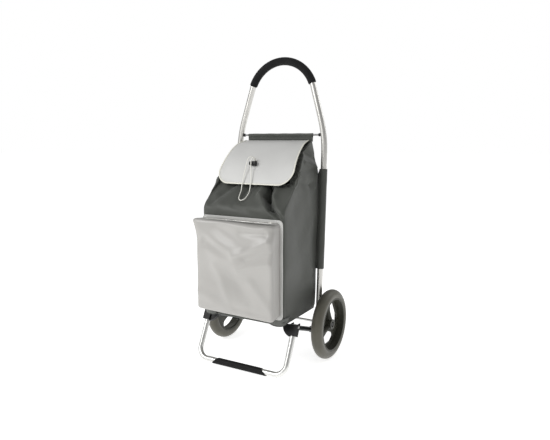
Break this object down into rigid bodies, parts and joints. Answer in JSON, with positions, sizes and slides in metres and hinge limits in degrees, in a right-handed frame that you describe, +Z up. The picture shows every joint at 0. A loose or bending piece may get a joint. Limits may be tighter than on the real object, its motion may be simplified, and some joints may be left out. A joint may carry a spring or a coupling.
{
  "type": "shopping trolley",
  "caption": "Two-wheeled shopping trolley: leaning arched tube handle, fabric bag with front pocket and drawn flap, folding base and U-shaped stand.",
  "frame": {"origin": "on the ground, at the centre of the box around the trolley", "axes": "+Z up, -Y towards the bag's front pocket, +X to the right of someone who faces the bag"},
  "size_m": [0.458, 0.388, 1.02],
  "materials": {
    "tube_aluminium": "satin anodised tube",
    "grip_foam": "closed-cell foam",
    "zinc_steel": "zinc plated",
    "dark_steel": "black powder coat",
    "black_plastic": "moulded",
    "foot_rubber": "ribbed",
    "tyre_rubber": "smooth, warm grey",
    "rim_plastic": "moulded, warm grey",
    "bright_bar": "bright drawn bar",
    "bag_fabric": "dark grey coated polyester",
    "sleeve_fabric": "dark grey polyester",
    "board": "stiff board",
    "pocket_fabric": "silver grey satin polyester",
    "pale_piping": "woven piping",
    "flap_fabric": "light grey polyester",
    "cream_piping": "bias tape",
    "zip_metal": "cast and plated",
    "eyelet_metal": "pressed ring",
    "white_elastic": "braided elastic"
  },
  "bodies": {
    "frame": {"handle_tube": "tube_aluminium", "handle_grip": "grip_foam", "top_rod": "dark_steel", "rod_bushings": "black_plastic", "axle_rod": "zinc_steel", "axle_block_left": "black_plastic", "axle_block_right": "black_plastic", "block_screws": "zinc_steel", "axle_spacers": "black_plastic", "axle_caps": "black_plastic", "bag_body": "bag_fabric", "base_board": "board", "mouth_hem": "bag_fabric", "rod_sleeve": "bag_fabric", "tube_sleeve_left": "sleeve_fabric", "tube_sleeve_right": "sleeve_fabric", "corner_tabs": "bag_fabric", "pocket_body": "pocket_fabric", "pocket_piping": "pale_piping", "pocket_zip": "pocket_fabric"},
    "base": {"arm_left": "dark_steel", "arm_right": "dark_steel", "bracket_left": "black_plastic", "bracket_right": "black_plastic", "front_crossbar": "bright_bar", "arm_pins": "zinc_steel", "stand_pins": "zinc_steel"},
    "stand": {"stand_tube": "tube_aluminium", "stand_foot": "foot_rubber"},
    "wheel_left": {"tyre_left": "tyre_rubber", "rim_left": "rim_plastic", "hub_bush_left": "black_plastic"},
    "wheel_right": {"tyre_right": "tyre_rubber", "rim_right": "rim_plastic", "hub_bush_right": "black_plastic"},
    "flap": {"flap_panel": "flap_fabric", "flap_piping": "cream_piping", "flap_eyelet": "eyelet_metal", "cord_lock_body": "black_plastic", "cord_lock_spring": "zinc_steel", "elastic_cord": "white_elastic"},
    "lock_button": {"cord_lock_button": "black_plastic"},
    "zip": {"zip_slider": "zip_metal", "zip_pull": "zip_metal"}
  },
  "joints": [
    {"name": "wheel_left_spin", "type": "hinge", "parent": "frame", "child": "wheel_left", "pos_m": [-0.2095, 0.076, 0.118], "axis": [1, 0, 0], "continuous": true},
    {"name": "wheel_right_spin", "type": "hinge", "parent": "frame", "child": "wheel_right", "pos_m": [0.2095, 0.076, 0.118], "axis": [1, 0, 0], "continuous": true},
    {"name": "base_fold", "type": "hinge", "parent": "frame", "child": "base", "pos_m": [0, 0.076, 0.087], "axis": [-1, 0, 0], "range_deg": [0, 44], "deforming": ["bag_body", "base_board", "corner_tabs", "pocket_body", "pocket_piping", "pocket_zip"]},
    {"name": "stand_fold", "type": "hinge", "parent": "base", "child": "stand", "pos_m": [0, -0.09523, 0.152], "axis": [1, 0, 0], "range_deg": [0, 80]},
    {"name": "flap_open", "type": "hinge", "parent": "frame", "child": "flap", "pos_m": [0, 0.10044, 0.743], "axis": [-1, 0, 0], "range_deg": [0, 100]},
    {"name": "lock_press", "type": "slide", "parent": "flap", "child": "lock_button", "axis": [1, 0, 0], "range_m": [0, 0.004], "stiffness_N_per_m": 400, "springref_m": -0.002, "deforming": ["cord_lock_spring"]},
    {"name": "zip_slide", "type": "slide", "parent": "frame", "child": "zip", "axis": [-1, 0, 0], "range_m": [0, 0.23]}
  ]
}
